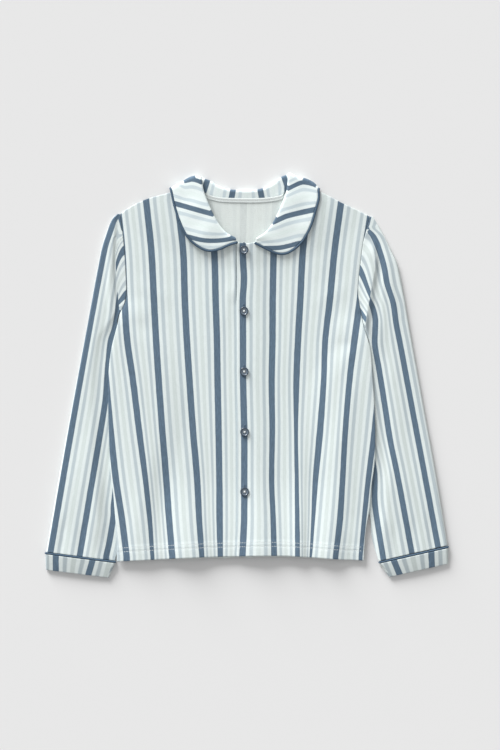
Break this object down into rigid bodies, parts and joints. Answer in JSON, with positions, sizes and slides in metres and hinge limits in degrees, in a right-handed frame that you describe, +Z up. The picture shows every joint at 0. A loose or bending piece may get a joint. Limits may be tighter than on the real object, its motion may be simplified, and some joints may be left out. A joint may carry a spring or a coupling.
{
  "type": "pyjama shirt",
  "caption": "Child's long-sleeved striped cotton knit pyjama shirt with a rounded piped collar and piped cuffs, buttoned up the front and laid flat.",
  "frame": {"origin": "middle of the shirt's bounding box in X and Y, at the surface it lies on", "axes": "+Z up from that surface through the front of the shirt, +Y from the hem towards the collar, +X to the right of someone who looks down on the front"},
  "size_m": [0.5256, 0.526, 0.0126],
  "materials": {
    "striped_knit": "matte cotton interlock printed with lengthwise slate-blue, pale blue and pale grey stripes on white",
    "piping": "plain slate-blue cotton over a thin cord",
    "tape": "plain white woven tape",
    "button": "dark slate-blue polyester resin, soft shine"
  },
  "bodies": {
    "root": {"back_panel": "striped_knit", "front_under": "striped_knit", "front_over": "striped_knit", "sleeve_left_view": "striped_knit", "sleeve_right_view": "striped_knit", "cuff_left_view": "striped_knit", "cuff_right_view": "striped_knit", "collar": "striped_knit", "collar_piping": "piping", "cuff_piping_left_view": "piping", "cuff_piping_right_view": "piping", "neck_tape": "tape", "button_1": "button", "button_2": "button", "button_3": "button", "button_4": "button", "button_5": "button"}
  },
  "joints": []
}
